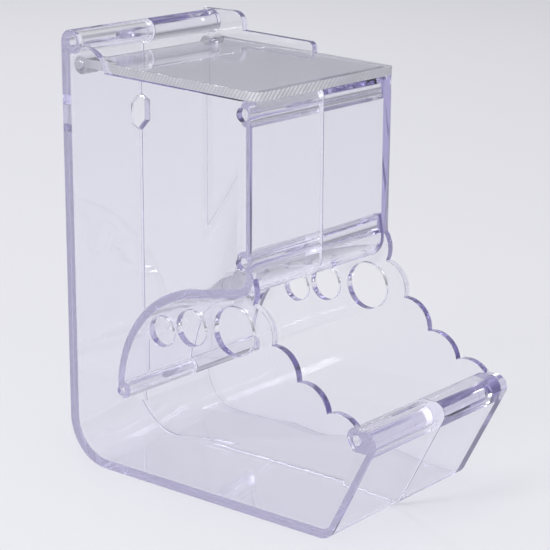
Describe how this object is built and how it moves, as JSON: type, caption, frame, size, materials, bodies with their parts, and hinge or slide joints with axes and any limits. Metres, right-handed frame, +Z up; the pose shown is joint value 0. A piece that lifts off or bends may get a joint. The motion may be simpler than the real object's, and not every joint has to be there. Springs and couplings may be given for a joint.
{
  "type": "gravity pet feeder",
  "caption": "Clear moulded hopper feeder for a small pet, with a feeding nook, a scalloped tray front and a hinged lid.",
  "frame": {"origin": "centre of the bounding box's footprint, on the surface that the feeder stands on; the seam between the two shells is the plane X = 0", "axes": "-Y is the front, where the pet eats, +Y the rear face, +X the right shell, +Z up"},
  "size_m": [0.072, 0.128, 0.147],
  "materials": {
    "clear_shell": "clear injection-moulded styrene, gloss",
    "clear_lid": "clear moulded plate, gloss faces, sanded frosted edges and knuckles"
  },
  "bodies": {
    "shell": {"left_shell": "clear_shell", "right_shell": "clear_shell"},
    "lid": {"lid": "clear_lid"}
  },
  "joints": [
    {"name": "lid_hinge", "type": "hinge", "parent": "shell", "child": "lid", "pos_m": [0, 0.0568, 0.1358], "axis": [-1, 0, 0], "range_deg": [0, 60]}
  ]
}
